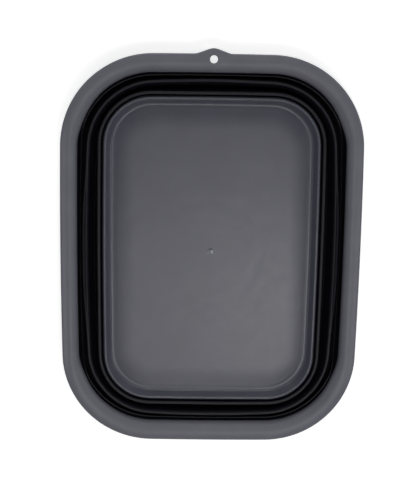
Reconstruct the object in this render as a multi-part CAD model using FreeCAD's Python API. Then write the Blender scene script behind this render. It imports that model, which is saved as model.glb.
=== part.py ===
"""Collapsible washing-up bowl, folded flat: a rim frame, a pleated wall and a base tray.

The bowl stands on its foot at Z = 0 with its mouth up and its hanging tab towards +Y.
Every outline is made of tangent arcs, and every ring is a section carried round an outline.
A section is drawn with X as the inset from the outline and Z as the height over the table.
"""
import FreeCAD, Part
import math
import os
from collections import namedtuple

Vector = FreeCAD.Vector
UP = Vector(0, 0, 1)

# Rim outline
rim_length = 370.0
rim_width = 281.4
rim_corner_radius = 85.5
rim_long_rise = 0.8
rim_short_rise = 0.3

# Rim section: an upside-down channel with a crowned top and a steeply rolled inner edge
rim_face_height = 27.0
rim_depth = 13.0
rim_wall = 2.2
rim_edge_round = 2.6
rim_edge_width = 4.0
rim_flat_width = 1.5
rim_crown_width = 4.5
rim_crown_rise = 0.8
rim_crown_round = 3.0
rim_roll_drop = 6.8
rim_roll_round = 8.0
flange_width = 15.0

# Hanging tab on the rim
tab_half_width = 18.0
tab_rise = 4.9
tab_tip_radius = 12.8
tab_flank_radius = 12.8
hanging_hole_radius = 3.6
hanging_hole_inset = 4.8

# Pleated wall
pleat_height = 18.0
valley_height = 2.0
ring_wall = 1.5
fold_wall = 0.8
fold_gap = 0.4
ring_hook_depth = 2.5
hook_round = 1.2

# Upper band: a collar that slopes in from the rim, deeper at the short sides, and a skirt below it
bond_height = 3.5
collar_long_reach = 1.8
collar_short_reach = 4.0
collar_drop = 2.5
collar_edge_rise = 0.8
collar_depth = 2.5
collar_round = 0.7
band_wall = 1.4
band_long_rise = 1.7
band_short_rise = 0.6

# Outer ring, which bellies outwards at the middle of each side
outer_room = 3.6
outer_long_rise = 2.6
outer_short_rise = 1.5
outer_short_ease = 1.0
outer_ring_width = 8.1
shoulder_width = 6.0
shoulder_drop = 1.4
shoulder_round = 5.0
corner_room = 3.5

# Inner ring
inner_ridge_rise = 0.3
inner_crown_width = 3.0
inner_ring_width = 3.8

# Base tray
lip_room = 0.4
lip_width = 2.1
lip_depth = 2.5
lip_round = 0.9
tray_depth = 7.5
border_run = 4.2
channel_depth = 2.0
channel_round = 4.0
channel_run = 14.0
floor_round = 100.0
floor_margin = 2.0
floor_wall = 2.5
foot_height = 9.5
foot_wall = 2.2
foot_draft = 0.4
foot_round = 0.6
gate_mark_radius = 1.6
gate_mark_height = 0.25

# Insets from the rim's outline, from the outside in
fold_room = fold_gap + fold_wall
band_inset = flange_width + collar_long_reach
outer_ring_inset = band_inset + fold_room + outer_room
inner_ring_inset = outer_ring_inset + outer_ring_width + fold_room + corner_room
lip_inset = inner_ring_inset + inner_ring_width + fold_room + lip_room

# Heights over the table
rim_bottom = rim_face_height - rim_depth
bond_top = rim_bottom + bond_height
band_edge_height = bond_top - collar_drop
ridge_height = valley_height + pleat_height
inner_ridge_height = ridge_height + inner_ridge_rise
floor_height = foot_height + floor_wall
lip_height = floor_height + tray_depth

# A stretch of an outline: its start, the way in from there, and the arc or line that it follows
Stretch = namedtuple("Stretch", "start inward centre turn travel")


def polar(centre, radius, angle):
    """The point at an angle on a circle round a centre."""
    return centre + Vector(math.cos(angle), math.sin(angle), 0) * radius


def arc_stretch(centre, radius, first, last, hollow=False):
    """An arc of an outline. A hollow one has its centre outside the outline."""
    start = polar(centre, radius, first)
    away = (start - centre).normalize()
    inward = away if hollow else away * -1
    return Stretch(start, inward, centre, math.degrees(last - first), None)


def line_stretch(start, end):
    """A straight run of an outline that goes anticlockwise round the bowl."""
    travel = end - start
    inward = UP.cross(travel).normalize()
    return Stretch(start, inward, None, None, travel)


def side_radius(half_chord, rise):
    """The radius of a side that bows out by a rise over half its length."""
    return (half_chord ** 2 + rise ** 2) / (2 * rise)


def bowed_sides(half_width, half_length, corner_radius, long_rise, short_rise):
    """Centres, radii and end angles of a rounded rectangle whose sides bow outwards."""
    long_radius = side_radius(half_length - corner_radius, long_rise)
    short_radius = side_radius(half_width - corner_radius, short_rise)
    long_centre = Vector(half_width - long_radius, 0, 0)
    short_centre = Vector(0, half_length - short_radius, 0)
    # The corner's centre lies where its circle touches both sides from the inside
    long_reach = long_radius - corner_radius
    short_reach = short_radius - corner_radius
    across = short_centre - long_centre
    along = (long_reach ** 2 - short_reach ** 2 + across.Length ** 2) / (2 * across.Length)
    aside = math.sqrt(long_reach ** 2 - along ** 2)
    across.normalize()
    corner = long_centre + across * along + UP.cross(across) * aside
    long_angle = math.atan2(corner.y, corner.x - long_centre.x)
    short_angle = math.atan2(corner.y - short_centre.y, corner.x)
    return long_centre, long_radius, short_centre, short_radius, corner, long_angle, short_angle


def mirrored(point, flip_x, flip_y):
    """A point carried over to another quarter of the outline."""
    return Vector(-point.x if flip_x else point.x, -point.y if flip_y else point.y, point.z)


def outline(sides, corner_radius, back=None):
    """The whole outline, anticlockwise from the +X side, with its back side given or plain."""
    long_centre, long_radius, short_centre, short_radius, corner, low, high = sides
    half, full = math.pi, 2 * math.pi
    if back is None:
        back = [arc_stretch(short_centre, short_radius, high, half - high)]
    right = arc_stretch(long_centre, long_radius, -low, low)
    left = arc_stretch(mirrored(long_centre, True, False), long_radius, half - low, half + low)
    front = arc_stretch(mirrored(short_centre, False, True), short_radius, half + high, full - high)
    back_right = arc_stretch(corner, corner_radius, low, high)
    back_left = arc_stretch(mirrored(corner, True, False), corner_radius, half - high, half - low)
    front_left = arc_stretch(mirrored(corner, True, True), corner_radius, half + low, half + high)
    front_right = arc_stretch(mirrored(corner, False, True), corner_radius, full - high, full - low)
    return [right, back_right] + back + [back_left, left, front_left, front, front_right]


def tab_side(sides):
    """The back side of the rim with its hanging tab: flank, straight slope, tip, and back again."""
    short_centre, short_radius, high = sides[2], sides[3], sides[6]
    foot_angle = math.acos(tab_half_width / short_radius)
    flank_centre = polar(short_centre, short_radius + tab_flank_radius, foot_angle)
    tip_centre = Vector(0, rim_length / 2 + tab_rise - tab_tip_radius, 0)
    # The slope is the line that touches both circles and crosses between them
    apart = flank_centre - tip_centre
    swing = math.acos((tab_flank_radius + tab_tip_radius) / apart.Length)
    slope_angle = math.atan2(apart.y, apart.x) + swing
    slope_low = polar(flank_centre, -tab_flank_radius, slope_angle)
    slope_high = polar(tip_centre, tab_tip_radius, slope_angle)
    half, full = math.pi, 2 * math.pi
    left_centre = mirrored(flank_centre, True, False)
    return [
        arc_stretch(short_centre, short_radius, high, foot_angle),
        arc_stretch(flank_centre, tab_flank_radius, foot_angle + half, slope_angle + half, hollow=True),
        line_stretch(slope_low, slope_high),
        arc_stretch(tip_centre, tab_tip_radius, slope_angle, half - slope_angle),
        line_stretch(mirrored(slope_high, True, False), mirrored(slope_low, True, False)),
        arc_stretch(left_centre, tab_flank_radius, full - slope_angle, full - foot_angle, hollow=True),
        arc_stretch(short_centre, short_radius, half - foot_angle, half - high),
    ]


def section(points, closed=True):
    """A chain of straight runs with rounded corners, from points of inset, height and rounding."""
    corners = [Vector(inset, 0, height) for inset, height, _ in points]
    count = len(corners)
    bends = []
    for number, (_, _, rounding) in enumerate(points):
        here = corners[number]
        if rounding == 0:
            bends.append((here, None, here))
            continue
        back = (corners[number - 1] - here).normalize()
        ahead = (corners[(number + 1) % count] - here).normalize()
        half_angle = back.getAngle(ahead) / 2
        reach = rounding / math.tan(half_angle)
        inwards = (back + ahead).normalize()
        middle = here + inwards * (rounding / math.sin(half_angle) - rounding)
        bends.append((here + back * reach, middle, here + ahead * reach))
    edges = []
    for number, (enter, middle, leave) in enumerate(bends):
        if middle is not None:
            edges.append(Part.Arc(enter, middle, leave).toShape())
        if closed or number < count - 1:
            edges.append(Part.LineSegment(leave, bends[(number + 1) % count][0]).toShape())
    return Part.Wire(edges)


def behind(points, wall):
    """The run of points that lies a wall behind a run that bends away from it, still parallel."""
    corners = [Vector(inset, 0, height) for inset, height, _ in points]
    runs = [(after - before).normalize() for before, after in zip(corners, corners[1:])]
    back = [Vector(0, 1, 0).cross(run) for run in runs]
    moved = []
    for (_, _, rounding), here, before, after in zip(points, corners, back[:1] + back, back + back[-1:]):
        place = here + (before + after) * (wall / (1 + before.dot(after)))
        moved.append((place.x, place.z, max(rounding - wall, 0)))
    return moved


def carry(profile, stretches):
    """Carries a profile round an outline: a point gives edges, and a section gives faces."""
    pieces = []
    for stretch in stretches:
        placed = profile.copy()
        placed.rotate(Vector(), UP, math.degrees(math.atan2(stretch.inward.y, stretch.inward.x)))
        placed.translate(stretch.start)
        if stretch.centre is None:
            pieces.append(placed.extrude(stretch.travel))
        else:
            pieces.append(placed.revolve(stretch.centre, UP, stretch.turn))
    return pieces


def carried_faces(profile, stretches):
    """All the faces that a section sweeps round an outline."""
    return [face for piece in carry(profile, stretches) for face in piece.Faces]


def line_at(stretches, inset, height):
    """The closed line at an inset from an outline and at a height."""
    return Part.Wire(carry(Part.Vertex(inset, 0, height), stretches))


def flat_ring(first_line, second_line):
    """The flat face between two closed lines at one height."""
    return Part.makeFace([first_line, second_line], "Part::FaceMakerBullseye")


def closed_solid(faces):
    """One solid from faces that meet edge to edge."""
    shell = Part.Shell(faces)
    shell.sewShape()
    solid = Part.Solid(shell)
    if solid.Volume < 0:
        solid.reverse()
    return solid


def ring(points, stretches):
    """A closed ring from a section and an outline."""
    return closed_solid(carried_faces(section(points), stretches))


def slope(first_line, second_line):
    """The sloping faces between two closed lines with as many stretches each."""
    return [Part.makeRuledSurface(*edges) for edges in zip(first_line.Edges, second_line.Edges)]


def web(low_stretches, low_inset, low_height, high_stretches, high_inset, high_height):
    """A thin fold between two outlines, from its lower edge to its upper edge."""
    low_lines = [line_at(low_stretches, low_inset + step, low_height) for step in (0, fold_wall)]
    high_lines = [line_at(high_stretches, high_inset + step, high_height) for step in (0, fold_wall)]
    faces = [flat_ring(*low_lines), flat_ring(*high_lines)]
    for low_line, high_line in zip(low_lines, high_lines):
        faces += slope(low_line, high_line)
    return closed_solid(faces)


def make_rim():
    """The rim frame: a channel with a skirt that runs out round the hanging tab."""
    face, under = rim_face_height, rim_face_height - rim_wall
    flat_inset = rim_edge_width + rim_flat_width
    crown = face + rim_crown_rise
    outside = section([
        (0, rim_bottom, 0),
        (0, face, rim_edge_round),
        (rim_edge_width, face, 0),
    ], closed=False)
    inside = section([
        (0, rim_bottom, 0),
        (rim_wall, rim_bottom, 0),
        (rim_wall, under, rim_edge_round - rim_wall),
        (rim_edge_width, under, 0),
    ], closed=False)
    upper_run = [
        (rim_edge_width, face, 0),
        (flat_inset, face, 0),
        (flat_inset + rim_crown_width, crown, rim_crown_round),
        (flange_width, crown - rim_roll_drop, rim_roll_round),
        (flange_width, rim_bottom, 0),
    ]
    lower_run = behind(upper_run, rim_wall)
    roll = section(upper_run[1:] + lower_run[:0:-1], closed=False)
    faces = carried_faces(outside, tabbed_outline) + carried_faces(inside, tabbed_outline)
    faces += carried_faces(roll, rim_outline)
    for inset, height, _ in (upper_run[1], lower_run[1]):
        edge_line = line_at(tabbed_outline, rim_edge_width, height)
        faces.append(flat_ring(edge_line, line_at(rim_outline, inset, height)))
    hole_y = rim_length / 2 - hanging_hole_inset
    hole = Part.makeCylinder(hanging_hole_radius, face, Vector(0, hole_y, rim_bottom))
    return closed_solid(faces).cut(hole)


def make_upper_band():
    """The top of the wall: a collar bonded inside the rim and a skirt down to the first valley."""
    collar_high = band_edge_height + collar_edge_rise
    collar_low = band_edge_height - collar_depth
    bond = section([(flange_width, rim_bottom, 0), (flange_width, bond_top, 0)], closed=False)
    skirt = section([
        (-band_wall, collar_high, 0),
        (0, band_edge_height, collar_round),
        (0, valley_height, 0),
        (-band_wall, valley_height, 0),
        (-band_wall, collar_low, 0),
    ], closed=False)
    faces = carried_faces(bond, rim_outline) + carried_faces(skirt, band_outline)
    for bond_level, skirt_level in ((bond_top, collar_high), (rim_bottom, collar_low)):
        bond_line = line_at(rim_outline, flange_width, bond_level)
        faces += slope(bond_line, line_at(band_outline, -band_wall, skirt_level))
    return closed_solid(faces)


def make_outer_ring():
    """The first pleat: a hooked ridge, a rounded shoulder and a skirt down to the second valley."""
    shoulder = ridge_height - shoulder_drop
    return ring([
        (0, ridge_height - ring_hook_depth, 0),
        (0, ridge_height, hook_round),
        (shoulder_width, shoulder, shoulder_round),
        (outer_ring_width, valley_height, 0),
        (outer_ring_width - ring_wall, valley_height, 0),
        (shoulder_width - ring_wall, shoulder - ring_wall, shoulder_round - ring_wall),
        (fold_wall, ridge_height - ring_wall, 0),
        (fold_wall, ridge_height - ring_hook_depth, 0),
    ], outer_outline)


def make_inner_ring():
    """The second pleat: a narrow round ridge beside the tray's lip."""
    top = inner_ridge_height
    outer, crown = inner_ring_inset, inner_ring_inset + inner_crown_width
    foot = inner_ring_inset + inner_ring_width
    return ring([
        (outer, top - ring_hook_depth, 0),
        (outer, top, hook_round),
        (crown, top, hook_round),
        (foot, valley_height, 0),
        (foot - ring_wall, valley_height, 0),
        (crown - ring_wall, top - ring_wall, 0),
        (outer + fold_wall, top - ring_wall, 0),
        (outer + fold_wall, top - ring_hook_depth, 0),
    ], rim_outline)


def make_upper_fold():
    """The fold that turns up from the first valley to the outer ring's hook."""
    high = ridge_height - ring_hook_depth
    return web(band_outline, fold_gap, valley_height, outer_outline, 0, high)


def make_middle_fold():
    """The fold that turns up from the second valley to the inner ring's hook."""
    low_inset = outer_ring_width + fold_gap
    high = inner_ridge_height - ring_hook_depth
    return web(outer_outline, low_inset, valley_height, rim_outline, inner_ring_inset, high)


def make_lower_fold():
    """The fold that turns up from the last valley to the tray's lip."""
    low_inset = inner_ring_inset + inner_ring_width + fold_gap
    return web(rim_outline, low_inset, valley_height, rim_outline, lip_inset, lip_height - lip_depth)


def make_base_tray():
    """The tray: a lip, a border, a floor that rises out of a shallow channel, and a foot ring."""
    ledge = lip_inset + fold_wall
    border_top = lip_inset + lip_width
    channel = border_top + border_run
    floor_edge = channel + channel_run
    # The floor is level from where the rounding at its edge ends
    half_slope = math.atan(channel_depth / channel_run) / 2
    floor_line = floor_edge + floor_round * math.tan(half_slope) + floor_margin
    foot_outer = ledge + border_run
    foot_inner = foot_outer + foot_wall + foot_draft * 2
    foot_top = foot_height - channel_depth * (floor_edge - foot_inner) / channel_run
    border = section([
        (floor_line, floor_height, 0),
        (floor_edge, floor_height, floor_round),
        (channel, floor_height - channel_depth, channel_round),
        (border_top, lip_height, lip_round),
        (lip_inset, lip_height, lip_round),
        (lip_inset, lip_height - lip_depth, 0),
        (ledge, lip_height - lip_depth, 0),
        (foot_outer, foot_height - channel_depth, foot_wall),
        (foot_outer + foot_draft, 0, foot_round),
        (foot_inner - foot_draft, 0, foot_round),
        (foot_inner, foot_top, foot_round),
        (floor_edge, foot_height, floor_round),
        (floor_line, foot_height, 0),
    ], closed=False)
    faces = carried_faces(border, rim_outline)
    for height in (foot_height, floor_height):
        faces.append(Part.Face(line_at(rim_outline, floor_line, height)))
    mark = Part.makeCylinder(gate_mark_radius, gate_mark_height, Vector(0, 0, floor_height))
    return closed_solid(faces).fuse(mark)


rim_sides = bowed_sides(rim_width / 2, rim_length / 2, rim_corner_radius, rim_long_rise, rim_short_rise)
rim_outline = outline(rim_sides, rim_corner_radius)
tabbed_outline = outline(rim_sides, rim_corner_radius, tab_side(rim_sides))
band_corner_radius = rim_corner_radius - band_inset
band_sides = bowed_sides(
    rim_width / 2 - band_inset,
    rim_length / 2 - flange_width - collar_short_reach,
    band_corner_radius, band_long_rise, band_short_rise)
band_outline = outline(band_sides, band_corner_radius)
outer_corner_radius = rim_corner_radius - outer_ring_inset
outer_sides = bowed_sides(
    rim_width / 2 - outer_ring_inset,
    rim_length / 2 - outer_ring_inset - outer_short_ease,
    outer_corner_radius, outer_long_rise, outer_short_rise)
outer_outline = outline(outer_sides, outer_corner_radius)

nodes = {
    "rim": make_rim(),
    "upper_wall_band": make_upper_band(),
    "upper_fold": make_upper_fold(),
    "outer_wall_ring": make_outer_ring(),
    "middle_fold": make_middle_fold(),
    "inner_wall_ring": make_inner_ring(),
    "lower_fold": make_lower_fold(),
    "base_tray": make_base_tray(),
}

os.makedirs("parts", exist_ok=True)
for name, shape in nodes.items():
    solid = shape.Solids[0]
    print(f"{name}: {len(shape.Solids)} solid, valid {shape.isValid()}, {solid.Volume / 1000:.1f} cm3")
    solid.exportStep(os.path.join("parts", f"{name}.step"))
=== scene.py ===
"""Dresses the folded washing-up bowl: swept meshes in grey plastic and black rubber.

Lengths are in millimetres, with heights over the table, and go to metres where Blender takes them.
Every piece is a set of rows: a row is one line round the bowl, at an inset from an outline.
"""
import math
import bmesh
import bpy
import numpy as np
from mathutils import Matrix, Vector


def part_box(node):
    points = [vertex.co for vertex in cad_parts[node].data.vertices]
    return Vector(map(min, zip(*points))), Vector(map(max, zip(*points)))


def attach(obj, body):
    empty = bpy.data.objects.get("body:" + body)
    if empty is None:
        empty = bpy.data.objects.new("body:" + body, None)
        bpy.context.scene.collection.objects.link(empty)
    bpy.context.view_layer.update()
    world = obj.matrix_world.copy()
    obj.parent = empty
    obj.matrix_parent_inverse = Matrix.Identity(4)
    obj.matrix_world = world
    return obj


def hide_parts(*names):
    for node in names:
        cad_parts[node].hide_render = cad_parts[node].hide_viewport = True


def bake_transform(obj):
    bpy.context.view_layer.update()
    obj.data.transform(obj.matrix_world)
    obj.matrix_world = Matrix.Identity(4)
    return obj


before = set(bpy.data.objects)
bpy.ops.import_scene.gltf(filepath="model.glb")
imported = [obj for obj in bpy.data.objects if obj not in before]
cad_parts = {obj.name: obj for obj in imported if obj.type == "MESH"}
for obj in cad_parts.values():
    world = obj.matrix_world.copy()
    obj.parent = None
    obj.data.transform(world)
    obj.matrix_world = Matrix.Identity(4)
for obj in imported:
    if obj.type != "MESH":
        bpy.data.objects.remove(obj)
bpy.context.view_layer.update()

MM = 0.001
rim_low, rim_high = (np.array(corner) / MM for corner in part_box("rim"))
tray_high = np.array(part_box("base_tray")[1]) / MM

# Rim outline and hanging tab
half_width = rim_high[0]
half_length = -rim_low[1]
rim_corner_radius = 85.5
rim_long_rise = 0.8
rim_short_rise = 0.3
tab_tip = rim_high[1]
tab_half_width = 18.0
tab_tip_radius = 12.8
tab_flank_radius = 12.8
tab_reach = 4.0
tab_fade = 4.0
hole_radius = 3.6
hole_inset = 4.8
hole_flare = 0.5

# Rim section
rim_bottom = rim_low[2]
rim_top = rim_high[2]
rim_wall = 2.2
rim_edge_round = 1.8
rim_foot_round = 0.5
bead_inset = 2.6
bead_drop = 0.2
bead_round = 14.0
groove_inset = 5.0
groove_drop = 0.35
groove_round = 9.0
crown_inset = 8.3
flange_width = 15.0
roll_drop = 9.1
# On the short sides and corners the roll is wider both ways, and the top falls off to its outer edge
end_crown_shift = 1.0
end_roll_shift = 2.0
end_edge_drop = 1.3

# Upper band
bond_top = 17.2
band_long_inset = 16.8
band_short_inset = 20.0
band_long_rise = 1.7
band_short_rise = 0.6
band_edge = 14.4
band_wall = 1.4
collar_groove = 1.8
collar_bead = 1.2
collar_bead_rise = 1.4
collar_bead_round = 0.55
collar_depth = 2.0
collar_shares = (0.25, 0.5, 0.75)
# Shares of the band's height and of its bead's width that are lost along the long sides
long_dive_share = 0.75
long_narrow_share = 0.75

# Pleats
valley = 2.0
fold_wall = 0.8
fold_gap = 0.4
fold_steps = 14
ring_wall = 1.5
hook_round = 1.0
outer_long_inset = 21.6
outer_short_inset = 22.6
outer_long_rise = 2.6
outer_short_rise = 1.5
outer_ridge = 20.0
outer_crest = 1.5
outer_crest_width = 1.0
outer_crest_round = 0.6
outer_crest_shares = (0, 0.25, 0.5, 0.75, 1)
shoulder_width = 4.4
shoulder_drop = 3.2
shoulder_round = 6.0
outer_ring_width = 8.1
# At the middle of a long side the outer ridge splits into two crests with a groove between them
crest_spread = 1.7
crest_spread_reach = 85.0
crest_groove = 0.5
inner_inset = 33.8
inner_ridge = 20.3
inner_crown = 3.2
inner_ring_width = 3.8
# An exponent: under 1, the lower fold crosses over towards its valley before it falls
lower_fold_lean = 0.35
# Both ridges sway a little, as a sum of waves that go round so many times
wobble_size = 0.12
wobble_turns = range(3, 19, 2)
outer_wobble_seed = 3
inner_wobble_seed = 8
# The inner ring and the tray are squarer at their corners than the rim
corner_reach = 0.7

# Base tray
lip_inset = 39.4
lip_seat = 1.5
lip_seat_rise = 1.6
lip_height = tray_high[2]
lip_width = 2.1
lip_depth = 2.5
lip_round = 0.9
lip_fall = 0.25
border_run = 4.2
border_drop = 9.5
channel_round = 3.0
channel_run = 14.0
channel_depth = 2.0
floor_round = 100.0
floor_wall = 2.5
floor_line_inset = 69.2
# A faint raised line across the channel's short sides
floor_bead_inset = 51.0
floor_bead_width = 1.8
floor_bead_rise = 0.12
floor_rings = 14
foot_wall = 2.2
foot_draft = 0.4
foot_round = 0.6
gate_radius = 2.7
gate_rise = 0.24
gate_round = 0.3
gate_foot = gate_radius + gate_round
gate_shares = (0.2, 0.4, 0.6, 0.8, 1)
gate_polish_share = 0.55

# Sampling
side_steps = 36
corner_steps = 44
end_steps = 60
arc_step = math.radians(9)
line_step = 2.5
ellipse_steps = 18
hole_steps = 64
flare_steps = 6
hook_steps = 7
bend_steps = 9
sharp_angle = math.radians(40)

# How fast the shares of a side rise along the outline, and where those with an offset start
short_gain, short_offset = 1.6, 0.5
end_gain = 2.5
long_middle_gain = 1.5
# The same for a floor row that goes from round to the tray's outline
square_gain, square_offset = 1.6, 0.3

# Materials: noise as scale per metre, detail and roughness; tints as noise level and factor
rim_colour = (0.172, 0.173, 0.207)
rim_roughness = (0.46, 0.54)
tray_colour = (0.097, 0.098, 0.128)
tray_roughness = (0.30, 0.38)
wall_colour = (0.0042, 0.0037, 0.0084)
wall_roughness = (0.45, 0.58)
plastic_mottle = (38, 4)
plastic_tints = ((0.3, 0.94), (0.7, 1.06))
plastic_patches = (140, 5, 0.6)
plastic_grain = (3200, 2)
grain_strength = 0.12
grain_depth = 0.2
plastic_waves = (55, 2)
waves_strength = 0.05
waves_depth = 2.0
rubber_bloom = (90, 5, 0.65)
rubber_tints = ((0.35, 0.8), (0.75, 1.5))
rubber_skin = (1800, 3)
skin_strength = 0.1
skin_depth = 0.2
rubber_gloss = 0.32
# Flow marks: ring texture, the noise that breaks it up, and where the rings start and end
flow_rings = {"Scale": 18.0, "Distortion": 7.0, "Detail": 3.0, "Detail Scale": 1.5}
flow_noise = (24, 2)
flow_breaks = (0.42, 0.62)
flow_start = (12.0, 50.0)
flow_end = (70.0, 100.0)
flow_strength = 0.12
flow_depth = 0.6

# Camera, from the photograph's frame of 413 by 500 pixels
photo_height_px = 500
focal_length_px = 1100
sensor_mm = 36.0
camera_place = (-26.3, 219.9, 1033.4)
camera_turn_deg = (-12.1, -1.24, 0.67)

# Soft lights: name, tilt from straight above, turn from +X towards +Y, and power in watts
light_width = 500.0
light_distance = 1600.0
softboxes = (
    ("key", 20, 300, 4.6),
    ("key_left", 20, 240, 2.1),
    ("top", 0, 0, 0.8),
    ("front", 40, 270, 1.8),
    ("back", 40, 90, 3.0),
    ("right", 70, 0, 2.0),
    ("far_right", 76, 45, 2.0),
    ("far_back", 76, 90, 1.7),
    ("far_left", 76, 135, 2.0),
)

# Floor and surround
floor_reach = 12000.0
floor_white = 0.8
floor_glow = 0.72
world_level = 0.005
# The surround is white up to one height over the horizon and dim from another, as sines
horizon_low, horizon_high = 0.25, 0.35


def bow_radius(half_chord, rise):
    """The radius of a side that bows out by a rise over half its length."""
    return (half_chord ** 2 + rise ** 2) / (2 * rise)


def outline(half_width, half_length, corner_radius, long_rise, short_rise):
    """Points and inward directions round a rounded rectangle with bowed sides, from the +X side."""
    long_radius = bow_radius(half_length - corner_radius, long_rise)
    short_radius = bow_radius(half_width - corner_radius, short_rise)
    long_centre = np.array([half_width - long_radius, 0.0])
    short_centre = np.array([0.0, half_length - short_radius])
    long_reach = long_radius - corner_radius
    short_reach = short_radius - corner_radius
    across = short_centre - long_centre
    apart = math.hypot(*across)
    across /= apart
    along = (long_reach ** 2 - short_reach ** 2 + apart ** 2) / (2 * apart)
    aside = math.sqrt(long_reach ** 2 - along ** 2)
    corner = long_centre + across * along + np.array([-across[1], across[0]]) * aside
    low = math.atan2(corner[1], corner[0] - long_centre[0])
    high = math.atan2(corner[1] - short_centre[1], corner[0])
    stretches = (
        (long_centre, long_radius, np.linspace(0, low, side_steps, endpoint=False)),
        (corner, corner_radius, np.linspace(low, high, corner_steps, endpoint=False)),
        (short_centre, short_radius, np.linspace(high, math.pi / 2, end_steps + 1)),
    )
    away = np.concatenate([np.c_[np.cos(a), np.sin(a)] for _, _, a in stretches])
    points = np.concatenate([c + np.c_[np.cos(a), np.sin(a)] * r for c, r, a in stretches])
    return all_round(points), all_round(-away)


def all_round(quarter):
    """One quarter of an outline carried round the other three."""
    back_left = quarter[-2::-1] * (-1, 1)
    front_left = quarter[1:] * (-1, -1)
    front_right = quarter[-2:0:-1] * (1, -1)
    return np.concatenate([quarter, back_left, front_left, front_right])


def tab_line(x, plain_y):
    """How far out the rim's back edge lies beside the tab: flank, straight slope and tip."""
    short_radius = bow_radius(half_width - rim_corner_radius, rim_short_rise)
    short_centre = half_length - short_radius
    foot = math.acos(tab_half_width / short_radius)
    flank = np.array([math.cos(foot), math.sin(foot)]) * (short_radius + tab_flank_radius)
    flank[1] += short_centre
    tip = tab_tip - tab_tip_radius
    apart = flank - (0, tip)
    swing = math.acos((tab_flank_radius + tab_tip_radius) / math.hypot(*apart))
    slope = math.atan2(apart[1], apart[0]) + swing
    low = flank - np.array([math.cos(slope), math.sin(slope)]) * tab_flank_radius
    high = np.array([math.cos(slope), math.sin(slope)]) * tab_tip_radius + (0, tip)
    x = np.abs(x)
    on_tip = tip + np.sqrt(np.maximum(tab_tip_radius ** 2 - x ** 2, 0))
    on_slope = low[1] + (x - low[0]) * (high[1] - low[1]) / (high[0] - low[0])
    on_flank = flank[1] - np.sqrt(np.maximum(tab_flank_radius ** 2 - (x - flank[0]) ** 2, 0))
    places = [x < high[0], x < low[0], x < tab_half_width]
    return np.select(places, [on_tip, on_slope, on_flank], plain_y)


def with_tab(plain):
    """The rim's outline with its hanging tab on the back side."""
    points, inward = plain[0].copy(), plain[1].copy()
    back = (points[:, 1] > 0) & (np.abs(points[:, 0]) < tab_half_width)
    points[back, 1] = tab_line(points[back, 0], points[back, 1])
    travel = np.roll(points, -1, axis=0) - np.roll(points, 1, axis=0)
    turned = np.c_[-travel[:, 1], travel[:, 0]]
    inward[back] = turned[back] / np.linalg.norm(turned[back], axis=1)[:, None]
    return points, inward


def run(points, closed=True):
    """A chain of insets and heights through corners, each given as inset, height and rounding."""
    corners = np.array([point[:2] for point in points], float)
    chain = []
    count = len(points)
    for number, (_, _, rounding) in enumerate(points):
        here = corners[number]
        if rounding == 0:
            chain.append(here[None])
            continue
        back = corners[number - 1] - here
        ahead = corners[(number + 1) % count] - here
        back /= np.linalg.norm(back)
        ahead /= np.linalg.norm(ahead)
        half = math.acos(np.clip(back @ ahead, -1, 1)) / 2
        reach = rounding / math.tan(half)
        middle = back + ahead
        centre = here + middle / np.linalg.norm(middle) * rounding / math.sin(half)
        start, end = here + back * reach - centre, here + ahead * reach - centre
        turn = math.pi - 2 * half
        share = np.linspace(0, 1, max(2, math.ceil(turn / arc_step)) + 1)[:, None]
        bend = np.sin((1 - share) * turn) * start + np.sin(share * turn) * end
        chain.append(centre + bend / math.sin(turn))
    pieces = []
    for number, piece in enumerate(chain):
        pieces.append(piece)
        if closed or number < count - 1:
            start, end = piece[-1], chain[(number + 1) % count][0]
            steps = math.ceil(np.linalg.norm(end - start) / line_step)
            pieces.append(start + (end - start) * np.linspace(0, 1, steps + 1)[1:-1, None])
    return np.concatenate(pieces)


def quarter_ellipse(start, end, first=0.0):
    """Corners along a quarter of an ellipse, from a level start to an upright end."""
    turns = np.linspace(first, math.pi / 2, ellipse_steps)
    width, drop = end[0] - start[0], start[1] - end[1]
    return [(start[0] + width * math.sin(turn), end[1] + drop * math.cos(turn), 0) for turn in turns]


def behind(points, wall):
    """The run of corners that lies a wall behind a run, still parallel to it."""
    corners = np.array([point[:2] for point in points], float)
    runs = np.diff(corners, axis=0)
    runs /= np.linalg.norm(runs, axis=1)[:, None]
    back = np.c_[runs[:, 1], -runs[:, 0]]
    before, after = np.concatenate([back[:1], back]), np.concatenate([back, back[-1:]])
    moved = corners + (before + after) * (wall / (1 + (before * after).sum(1)))[:, None]
    return [(*place, max(point[2] - wall, 0)) for place, point in zip(moved, points)]


def rows_at(line, chain, shift=0.0):
    """Rows of a chain round an outline, each moved in by a shift that may differ along the line."""
    points, inward = line
    rows = []
    for inset, height in chain:
        away = np.broadcast_to(inset + shift, len(points))
        rows.append(np.c_[points + inward * away[:, None], np.full(len(points), height)])
    return rows


def mixed(first, second, share):
    """A row part of the way from one row to another."""
    return first + (second - first) * share


def smooth(share):
    """A share that starts and ends gently."""
    share = np.clip(share, 0, 1)
    return share * share * (3 - 2 * share)


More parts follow.
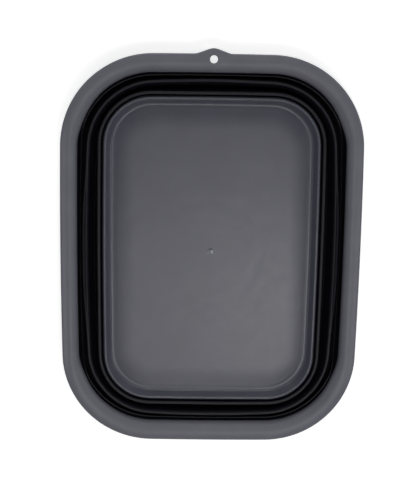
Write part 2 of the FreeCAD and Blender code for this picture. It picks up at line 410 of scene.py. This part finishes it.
def make_piece(name, rows, material, closed=True, centres=()):
    """A mesh piece from rows round the bowl: a closed tube, or a shell closed by two middle points."""
    count, columns = len(rows), len(rows[0])
    places = np.concatenate(rows)
    last = count if closed else count - 1
    here, ahead = np.meshgrid(np.arange(columns), np.arange(last), indexing="xy")
    beside = (here + 1) % columns
    above = (ahead + 1) % count
    quads = np.stack([
        ahead * columns + here, ahead * columns + beside,
        above * columns + beside, above * columns + here], axis=-1).reshape(-1, 4)
    faces = quads.tolist()
    for edge, centre in zip((0, count - 1), centres):
        middle = len(places)
        places = np.concatenate([places, [centre]])
        for column in range(columns):
            pair = [edge * columns + column, edge * columns + (column + 1) % columns]
            faces.append([middle] + (pair[::-1] if edge == 0 else pair))
    mesh = bpy.data.meshes.new(name)
    mesh.from_pydata((places * MM).tolist(), [], faces)
    mesh.update()
    piece = bpy.data.objects.new(name, mesh)
    bpy.context.scene.collection.objects.link(piece)
    finish_mesh(mesh)
    mesh.materials.append(material)
    return piece


def finish_mesh(mesh):
    """Outward faces, smooth shading and creases where two faces meet at a steep angle."""
    work = bmesh.new()
    work.from_mesh(mesh)
    bmesh.ops.recalc_face_normals(work, faces=work.faces)
    work.to_mesh(mesh)
    work.free()
    mesh.shade_smooth()
    mesh.set_sharp_from_angle(angle=sharp_angle)


def wobble(seed, size):
    """A slow irregular sway along a ring, the same each run."""
    source = np.random.default_rng(seed)
    share = np.linspace(0, 2 * math.pi, columns_round, endpoint=False)
    sway = np.zeros(columns_round)
    for turns in wobble_turns:
        sway += np.sin(share * turns + source.uniform(0, 2 * math.pi)) / math.sqrt(turns)
    return sway * size / np.abs(sway).max()


def new_material(name):
    """A node material with its shader and an object-space coordinate."""
    material = bpy.data.materials.new(name)
    material.use_nodes = True
    tree = material.node_tree
    shader = tree.nodes["Principled BSDF"]
    place = tree.nodes.new("ShaderNodeTexCoord").outputs["Object"]
    return material, tree, shader, place


def noise(tree, place, scale, detail=3.0, roughness=0.5):
    """A noise texture at a scale per metre."""
    node = tree.nodes.new("ShaderNodeTexNoise")
    node.inputs["Scale"].default_value = scale
    node.inputs["Detail"].default_value = detail
    node.inputs["Roughness"].default_value = roughness
    tree.links.new(place, node.inputs["Vector"])
    return node.outputs["Fac"]


def ramp(tree, value, stops):
    """A colour ramp through stops of position and colour."""
    node = tree.nodes.new("ShaderNodeValToRGB")
    band = node.color_ramp
    while len(band.elements) < len(stops):
        band.elements.new(0.5)
    for element, (position, colour) in zip(band.elements, stops):
        element.position = position
        element.color = (*colour, 1)
    tree.links.new(value, node.inputs["Fac"])
    return node.outputs["Color"]


def spread(tree, value, low, high, first=0.0, last=1.0):
    """A value carried from one range, mostly 0 to 1, onto another."""
    node = tree.nodes.new("ShaderNodeMapRange")
    node.inputs["From Min"].default_value = first
    node.inputs["From Max"].default_value = last
    node.inputs["To Min"].default_value = low
    node.inputs["To Max"].default_value = high
    tree.links.new(value, node.inputs["Value"])
    return node.outputs["Result"]


def bump(tree, height, strength, depth, under=None):
    """A bump node, on top of another where one is given."""
    node = tree.nodes.new("ShaderNodeBump")
    node.inputs["Strength"].default_value = strength
    node.inputs["Distance"].default_value = depth * MM
    tree.links.new(height, node.inputs["Height"])
    if under is not None:
        tree.links.new(under, node.inputs["Normal"])
    return node.outputs["Normal"]


def joined(tree, operation, first, second):
    """Two values put together by a math node's operation."""
    node = tree.nodes.new("ShaderNodeMath")
    node.operation = operation
    tree.links.new(first, node.inputs[0])
    tree.links.new(second, node.inputs[1])
    return node.outputs["Value"]


def from_gate(tree, place):
    """How far a place is from the tray's middle, seen from above, in millimetres."""
    flat = tree.nodes.new("ShaderNodeVectorMath")
    flat.operation = "MULTIPLY"
    flat.inputs[1].default_value = (1 / MM, 1 / MM, 0)
    tree.links.new(place, flat.inputs[0])
    length = tree.nodes.new("ShaderNodeVectorMath")
    length.operation = "LENGTH"
    tree.links.new(flat.outputs["Vector"], length.inputs[0])
    return length.outputs["Value"]


def flow_marks(tree, place):
    """Faint broken rings that the plastic left as it flowed out from the gate, from 0 to 1."""
    rings = tree.nodes.new("ShaderNodeTexWave")
    rings.wave_type = "RINGS"
    rings.rings_direction = "Z"
    for name, value in flow_rings.items():
        rings.inputs[name].default_value = value
    tree.links.new(place, rings.inputs["Vector"])
    radius = from_gate(tree, place)
    marks = rings.outputs["Fac"]
    breaks = spread(tree, noise(tree, place, *flow_noise), 0, 1, *flow_breaks)
    inside = spread(tree, radius, 0, 1, *flow_start)
    outside = spread(tree, radius, 1, 0, *flow_end)
    for mask in (breaks, inside, outside):
        marks = joined(tree, "MULTIPLY", marks, mask)
    return marks


def tinted(tree, value, colour, tints):
    """A colour that a value makes darker or lighter."""
    return ramp(tree, value, [(level, np.array(colour) * factor) for level, factor in tints])


def plastic(name, colour, roughness, gated=False):
    """Moulded grey plastic: slow mottling, fine spark-eroded grain and a patchy sheen."""
    material, tree, shader, place = new_material(name)
    mottle = noise(tree, place, *plastic_mottle)
    tree.links.new(tinted(tree, mottle, colour, plastic_tints), shader.inputs["Base Color"])
    sheen = spread(tree, noise(tree, place, *plastic_patches), *roughness)
    if gated:
        polish = spread(tree, from_gate(tree, place), gate_polish_share, 1, gate_radius, gate_foot)
        sheen = joined(tree, "MULTIPLY", sheen, polish)
    tree.links.new(sheen, shader.inputs["Roughness"])
    grain = bump(tree, noise(tree, place, *plastic_grain), grain_strength, grain_depth)
    waves = bump(tree, noise(tree, place, *plastic_waves), waves_strength, waves_depth, grain)
    if gated:
        waves = bump(tree, flow_marks(tree, place), flow_strength, flow_depth, waves)
    tree.links.new(waves, shader.inputs["Normal"])
    return material


def rubber(name, colour, roughness):
    """Black soft rubber: matt, with a faint bloom in patches and a fine skin."""
    material, tree, shader, place = new_material(name)
    bloom = noise(tree, place, *rubber_bloom)
    tree.links.new(tinted(tree, bloom, colour, rubber_tints), shader.inputs["Base Color"])
    tree.links.new(spread(tree, bloom, *roughness), shader.inputs["Roughness"])
    skin = bump(tree, noise(tree, place, *rubber_skin), skin_strength, skin_depth)
    tree.links.new(skin, shader.inputs["Normal"])
    shader.inputs["Specular IOR Level"].default_value = rubber_gloss
    return material


rim_plastic = plastic("rim_grey", rim_colour, rim_roughness)
tray_plastic = plastic("tray_grey", tray_colour, tray_roughness, gated=True)
wall_rubber = rubber("wall_black", wall_colour, wall_roughness)

rim_line = outline(half_width, half_length, rim_corner_radius, rim_long_rise, rim_short_rise)
tab_edge = with_tab(rim_line)
band_line = outline(
    half_width - band_long_inset, half_length - band_short_inset,
    rim_corner_radius - band_long_inset, band_long_rise, band_short_rise)
outer_line = outline(
    half_width - outer_long_inset, half_length - outer_short_inset,
    rim_corner_radius - outer_long_inset, outer_long_rise, outer_short_rise)
columns_round = len(rim_line[0])
# How much a place belongs to a short side, to an end with its corners, to a corner, and to a long middle
across, along = np.abs(rim_line[1]).T
short_share = smooth(along * short_gain - short_offset)
end_share = smooth(along * end_gain)
corner_share = smooth(2 * across * along)
long_middle_share = smooth((1 - np.abs(rim_line[0][:, 1]) / crest_spread_reach) * long_middle_gain)
long_middle_share *= across > along


def make_rim():
    """The rim frame: skirt, crowned top, steep roll and the hollow under it, with the hanging hole."""
    rise = math.atan2(groove_drop, crown_inset - groove_inset)
    roll_end = (flange_width, rim_top - roll_drop)
    roll_start = -math.atan(math.tan(rise) * (flange_width - crown_inset) / roll_drop)
    upper = [
        (0, rim_bottom, rim_foot_round),
        (0, rim_top - bead_drop, rim_edge_round),
        (bead_inset, rim_top - bead_drop, bead_round),
        (groove_inset, rim_top - groove_drop, groove_round),
        *quarter_ellipse((crown_inset, rim_top), roll_end, roll_start),
        (flange_width, rim_bottom, rim_foot_round),
    ]
    lower = behind(upper, rim_wall)
    lower[0] = (*lower[0][:2], rim_foot_round)
    lower[-1] = (*lower[-1][:2], rim_foot_round)
    chain = run(upper + lower[::-1])
    on_top = [point for point in run(upper) if point[1] > roll_end[1] or point[0] >= flange_width]
    top = np.array(on_top)
    widening = (0, -end_crown_shift, end_roll_shift)
    rows = []
    for inset, height in chain:
        face = inset
        if height < np.interp(inset, *top.T) - rim_wall / 2 and inset < flange_width:
            inner_run = flange_width - rim_wall - crown_inset
            face += rim_wall * np.clip((inset - crown_inset) / inner_run, 0, 1)
        shift = end_share * np.interp(face, (bead_inset, crown_inset, flange_width), widening)
        plain = rows_at(rim_line, [(inset, height)], shift)[0]
        tabbed = rows_at(tab_edge, [(inset, height)], shift)[0]
        row = mixed(tabbed, plain, smooth((inset - tab_reach) / tab_fade))
        if inset < crown_inset:
            fall = end_edge_drop * (1 - max(inset, rim_edge_round) / crown_inset) ** 2
            now = rim_top - np.interp(max(inset, rim_edge_round), *top.T)
            up = (height - rim_bottom) / (rim_top - rim_bottom)
            row[:, 2] += end_share * (now - fall) * up
        rows.append(row)
    piece = make_piece("rim_shell", rows, rim_plastic)
    cut_hole(piece)
    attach(piece, "rim")
    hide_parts("rim")


def cut_hole(piece):
    """Cuts the hanging hole through the rim's tab, with a softened edge at both faces."""
    face = rim_top - bead_drop
    edge = [(hole_radius + hole_flare, rim_top + hole_flare), (hole_radius + hole_flare, face)]
    softening = []
    for turn in np.linspace(0, math.pi / 2, flare_steps)[1:]:
        radius = hole_radius + hole_flare * (1 - math.sin(turn))
        softening.append((radius, face - hole_flare * (1 - math.cos(turn))))
    profile = edge + softening + [(hole_radius, face - rim_wall - hole_flare)]
    angles = np.linspace(0, 2 * math.pi, hole_steps, endpoint=False)
    ring = np.c_[np.cos(angles), np.sin(angles)]
    middle = np.array([0, half_length - hole_inset])
    rows = [np.c_[middle + ring * radius, np.full(len(ring), height)] for radius, height in profile]
    centres = [(*middle, profile[0][1]), (*middle, profile[-1][1])]
    cutter = make_piece("hole_cutter", rows, rim_plastic, closed=False, centres=centres)
    cut = piece.modifiers.new("hanging_hole", "BOOLEAN")
    cut.operation = "DIFFERENCE"
    cut.solver = "EXACT"
    cut.object = cutter
    shown = piece.evaluated_get(bpy.context.evaluated_depsgraph_get())
    mesh = bpy.data.meshes.new_from_object(shown)
    piece.modifiers.clear()
    piece.data = mesh
    bpy.data.objects.remove(cutter)
    finish_mesh(mesh)


def make_upper_band():
    """The top of the wall: a collar that slopes in from the rim, and a skirt to the first valley."""
    shift = end_share * end_roll_shift
    chain = run([
        (-collar_groove, band_edge, 0),
        (-collar_bead, band_edge + collar_bead_rise, collar_bead_round),
        (0, band_edge + collar_bead_rise, collar_bead_round),
        (0, valley, 0),
        (-band_wall, valley, 0),
        (-band_wall, band_edge - collar_depth, 0),
    ], closed=False)
    skirt = []
    for inset, height in chain:
        narrowing = -inset * long_narrow_share * (1 - end_share) if height >= band_edge else 0
        row = rows_at(band_line, [(inset, height)], narrowing)[0]
        row[:, 2] -= (height - valley) * long_dive_share * (1 - end_share)
        skirt.append(row)
    bond = rows_at(rim_line, [(flange_width, rim_bottom), (flange_width, bond_top)], shift)
    under = [mixed(skirt[-1], bond[0], share) for share in collar_shares]
    collar = [mixed(bond[1], skirt[0], share) for share in collar_shares]
    piece = make_piece("upper_band", skirt + under + bond + collar, wall_rubber)
    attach(piece, "rim")
    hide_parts("upper_wall_band")


def fold_rows(ridge_line, ridge_inset, ridge, valley_line, valley_inset, shift, hook=hook_round, lean=1):
    """A fold as a thin web: over its ridge, down to its valley, and round under the skirt beside it."""
    centre = ridge - hook
    fall = np.linspace(0, 1, fold_steps)[1:-1]
    faces = []
    for step, radius in ((0, hook), (fold_wall, hook - fold_wall)):
        over = []
        for turn in np.linspace(0, math.pi / 2, hook_steps):
            over.append((ridge_inset + hook - radius * math.sin(turn), centre + radius * math.cos(turn)))
        top = rows_at(ridge_line, over, shift)
        foot = rows_at(valley_line, [(valley_inset + fold_gap + step, valley)])[0]
        web = [mixed(top[-1], foot, np.array([share ** lean, share ** lean, share])) for share in fall]
        faces.append(top + web + [foot])
    width = (fold_wall + fold_gap + band_wall) / 2
    inner = valley_inset + fold_gap + fold_wall
    bend = []
    for turn in np.linspace(0, math.pi, bend_steps)[1:-1]:
        bend.append((inner - width * (1 - math.cos(turn)), valley - width * math.sin(turn)))
    tuck = [(valley_inset - band_wall / 2, valley), (valley_inset + fold_gap / 2, valley - fold_gap)]
    under = rows_at(valley_line, bend + tuck)
    return faces[0] + under[::-1] + faces[1][::-1]


def make_upper_fold():
    """The fold from the first valley up and over the outer ridge."""
    shift = outer_sway - long_middle_share * crest_spread
    rows = fold_rows(outer_line, 0, outer_ridge, band_line, 0, shift)
    piece = make_piece("upper_fold_web", rows, wall_rubber)
    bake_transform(piece)
    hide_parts("upper_fold")


def make_outer_ring():
    """The first pleat: a narrow ridge, a steep shoulder and a skirt down to the second valley."""
    shoulder = outer_ridge - shoulder_drop
    chain = run([
        *[(mixed(hook_round, outer_crest, share), outer_ridge, 0) for share in outer_crest_shares],
        (outer_crest + outer_crest_width, outer_ridge, outer_crest_round),
        (shoulder_width, shoulder, shoulder_round),
        (outer_ring_width, valley, 0),
        (outer_ring_width - ring_wall, valley, 0),
        (shoulder_width - ring_wall, shoulder - ring_wall / 2, shoulder_round - ring_wall),
        (hook_round, outer_ridge - ring_wall, 0),
    ])
    rows = []
    for inset, height in chain:
        outward = 1 - np.clip((inset - hook_round) / (outer_crest - hook_round), 0, 1)
        sway = outer_sway * smooth((height - valley) / (outer_ridge - valley))
        shift = sway - long_middle_share * crest_spread * outward
        row = rows_at(outer_line, [(inset, height)], shift)[0]
        row[:, 2] -= long_middle_share * crest_groove * math.sin(math.pi * outward) ** 2
        rows.append(row)
    piece = make_piece("outer_ring", rows, wall_rubber)
    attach(piece, "outer_pleat")
    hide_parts("outer_wall_ring")


def make_middle_fold():
    """The fold from the second valley up and over the inner ridge."""
    shift = inner_sway - corner_share * corner_reach
    rows = fold_rows(rim_line, inner_inset, inner_ridge, outer_line, outer_ring_width, shift)
    piece = make_piece("middle_fold_web", rows, wall_rubber)
    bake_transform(piece)
    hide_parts("middle_fold")


def make_inner_ring():
    """The second pleat: a narrow flat ridge and a skirt down to the last valley."""
    outer = inner_inset + hook_round
    crown = inner_inset + inner_crown
    foot = inner_inset + inner_ring_width
    chain = run([
        (outer, inner_ridge, 0),
        (crown, inner_ridge, hook_round),
        (foot, valley, 0),
        (foot - ring_wall, valley, 0),
        (crown - ring_wall / 2, inner_ridge - ring_wall, 0),
        (outer, inner_ridge - ring_wall, 0),
    ])
    rows = []
    for inset, height in chain:
        sway = inner_sway * smooth((height - valley) / (inner_ridge - valley))
        rows += rows_at(rim_line, [(inset, height)], sway - corner_share * corner_reach)
    piece = make_piece("inner_ring", rows, wall_rubber)
    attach(piece, "inner_pleat")
    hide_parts("inner_wall_ring")


def make_lower_fold():
    """The fold from the last valley up to its seat under the tray's lip."""
    seat = lip_height - lip_depth
    shift = -corner_share * corner_reach
    line = (rim_line[0] + rim_line[1] * shift[:, None], rim_line[1])
    hooked, ridge = lip_inset - lip_seat, seat + lip_seat_rise
    skirt = inner_inset + inner_ring_width
    rows = fold_rows(line, hooked, ridge, line, skirt, 0, lip_seat, lower_fold_lean)
    piece = make_piece("lower_fold_web", rows, wall_rubber)
    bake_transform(piece)
    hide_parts("lower_fold")


def make_tray():
    """The tray: a floor that rises out of a shallow channel, border, lip, underside and foot ring."""
    ledge = lip_inset + fold_wall
    ledge_height = lip_height - lip_depth
    border_top = lip_inset + lip_width
    channel = border_top + border_run
    floor_edge = channel + channel_run
    floor_height = lip_height - border_drop + channel_depth
    under_height = floor_height - floor_wall
    slope = channel_depth / channel_run
    floor_bead = [floor_bead_inset + step * floor_bead_width / 2 for step in (1, 0, -1)]
    foot_outer = ledge + border_run
    foot_inner = foot_outer + foot_draft * 2 + foot_wall
    foot_top = under_height - slope * (floor_edge - foot_inner)
    chain = run([
        (floor_line_inset, floor_height, 0),
        (floor_edge, floor_height, floor_round),
        *[(inset, floor_height - slope * (floor_edge - inset), 0) for inset in floor_bead],
        (channel, lip_height - border_drop, channel_round),
        (border_top, lip_height, lip_round),
        (lip_inset, lip_height - lip_fall, lip_round),
        (lip_inset, ledge_height, 0),
        (ledge, ledge_height, 0),
        (foot_outer, under_height - channel_depth, foot_wall),
        (foot_outer + foot_draft, 0, foot_round),
        (foot_inner - foot_draft, 0, foot_round),
        (foot_inner, foot_top, foot_round),
        (floor_edge, under_height, floor_round),
        (floor_line_inset, under_height, 0),
    ], closed=False)
    border = []
    for inset, height in chain:
        fade = smooth((channel - inset) / border_run)
        row = rows_at(rim_line, [(inset, height)], -corner_share * corner_reach * fade)[0]
        if inset == floor_bead_inset:
            row[:, 2] += short_share * floor_bead_rise
        border.append(row)
    mark = [(gate_radius * share, gate_rise * (1 - share ** 2)) for share in gate_shares]
    floor = floor_rows(border[0], floor_height, mark)
    under = floor_rows(border[-1], under_height, [])
    centres = [(0, 0, floor_height + gate_rise), (0, 0, under_height)]
    rows = floor + border + under[::-1]
    piece = make_piece("tray", rows, tray_plastic, closed=False, centres=centres)
    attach(piece, "base")
    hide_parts("base_tray")


def floor_rows(edge, height, mark):
    """Rows from the middle of a floor out to its edge: round at the middle, then the tray's outline."""
    angles = np.arctan2(edge[:, 1], edge[:, 0])
    ring = np.c_[np.cos(angles), np.sin(angles)]
    rows = [np.c_[ring * radius, np.full(len(ring), height + rise)] for radius, rise in mark]
    reach = np.hypot(edge[:, 0], edge[:, 1]).min()
    for share in np.linspace(0, 1, floor_rings + 1)[:-1]:
        round_row = ring * (gate_foot + (reach - gate_foot) * share)
        flat = mixed(round_row, edge[:, :2] * share, smooth(share * square_gain - square_offset))
        rows.append(np.c_[flat, np.full(len(flat), height)])
    return rows


outer_sway = wobble(outer_wobble_seed, wobble_size)
inner_sway = wobble(inner_wobble_seed, wobble_size)
make_rim()
make_upper_band()
make_upper_fold()
make_outer_ring()
make_middle_fold()
make_inner_ring()
make_lower_fold()
make_tray()


def make_camera():
    """The camera at the photograph's viewing angle."""
    data = bpy.data.cameras.new("camera")
    data.sensor_width = sensor_mm
    data.lens = sensor_mm * focal_length_px / photo_height_px
    camera = bpy.data.objects.new("camera", data)
    camera.location = Vector(camera_place) * MM
    camera.rotation_mode = "ZYX"
    camera.rotation_euler = [math.radians(turn) for turn in camera_turn_deg]
    bpy.context.scene.collection.objects.link(camera)
    bpy.context.scene.camera = camera


def make_softbox(name, tilt_deg, turn_deg, power):
    """A round soft light that looks at the bowl from a direction."""
    data = bpy.data.lights.new(name, "AREA")
    data.shape = "DISK"
    data.size = light_width * MM
    data.energy = power
    lamp = bpy.data.objects.new(name, data)
    tilt, turn = math.radians(tilt_deg), math.radians(turn_deg)
    way = Vector((math.sin(tilt) * math.cos(turn), math.sin(tilt) * math.sin(turn), math.cos(tilt)))
    lamp.location = way * light_distance * MM
    lamp.rotation_euler = way.to_track_quat("Z", "Y").to_euler()
    bpy.context.scene.collection.objects.link(lamp)


def seen_directly(tree):
    """1 for a ray from the camera, or one that reached here by a reflection or through glass."""
    path = tree.nodes.new("ShaderNodeLightPath")
    total = path.outputs["Is Camera Ray"]
    for name in ("Is Glossy Ray", "Is Transmission Ray"):
        total = joined(tree, "MAXIMUM", total, path.outputs[name])
    return total


def make_floor():
    """A wide white floor under the foot, which keeps the bowl's shadow."""
    reach = floor_reach * MM
    mesh = bpy.data.meshes.new("floor")
    corners = [(-reach, -reach, 0), (reach, -reach, 0), (reach, reach, 0), (-reach, reach, 0)]
    mesh.from_pydata(corners, [], [(0, 1, 2, 3)])
    material = bpy.data.materials.new("floor_white")
    material.use_nodes = True
    tree = material.node_tree
    tree.nodes.clear()
    paint = tree.nodes.new("ShaderNodeBsdfDiffuse")
    paint.inputs["Color"].default_value = (floor_white, floor_white, floor_white, 1)
    light = tree.nodes.new("ShaderNodeEmission")
    light.inputs["Strength"].default_value = floor_glow
    both = tree.nodes.new("ShaderNodeAddShader")
    choose = tree.nodes.new("ShaderNodeMixShader")
    output = tree.nodes.new("ShaderNodeOutputMaterial")
    tree.links.new(paint.outputs["BSDF"], both.inputs[0])
    tree.links.new(light.outputs["Emission"], both.inputs[1])
    tree.links.new(seen_directly(tree), choose.inputs["Fac"])
    tree.links.new(paint.outputs["BSDF"], choose.inputs[1])
    tree.links.new(both.outputs["Shader"], choose.inputs[2])
    tree.links.new(choose.outputs["Shader"], output.inputs["Surface"])
    mesh.materials.append(material)
    floor = bpy.data.objects.new("floor", mesh)
    bpy.context.scene.collection.objects.link(floor)


def make_world():
    """A surround that is dim as a light, and white near the horizon where it is seen or reflected."""
    world = bpy.data.worlds.new("surround")
    bpy.context.scene.world = world
    world.use_nodes = True
    tree = world.node_tree
    tree.nodes.clear()
    dim = tree.nodes.new("ShaderNodeBackground")
    dim.inputs["Strength"].default_value = world_level
    white = tree.nodes.new("ShaderNodeBackground")
    white.inputs["Strength"].default_value = 1.0
    for node in (dim, white):
        node.inputs["Color"].default_value = (1, 1, 1, 1)
    choose = tree.nodes.new("ShaderNodeMixShader")
    output = tree.nodes.new("ShaderNodeOutputWorld")
    way = tree.nodes.new("ShaderNodeSeparateXYZ")
    tree.links.new(tree.nodes.new("ShaderNodeTexCoord").outputs["Generated"], way.inputs["Vector"])
    low = spread(tree, way.outputs["Z"], 0, 1, horizon_high, horizon_low)
    shown = joined(tree, "MULTIPLY", low, seen_directly(tree))
    tree.links.new(shown, choose.inputs["Fac"])
    tree.links.new(dim.outputs["Background"], choose.inputs[1])
    tree.links.new(white.outputs["Background"], choose.inputs[2])
    tree.links.new(choose.outputs["Shader"], output.inputs["Surface"])


make_camera()
for softbox in softboxes:
    make_softbox(*softbox)
make_floor()
make_world()
bpy.context.scene.view_settings.view_transform = "Standard"
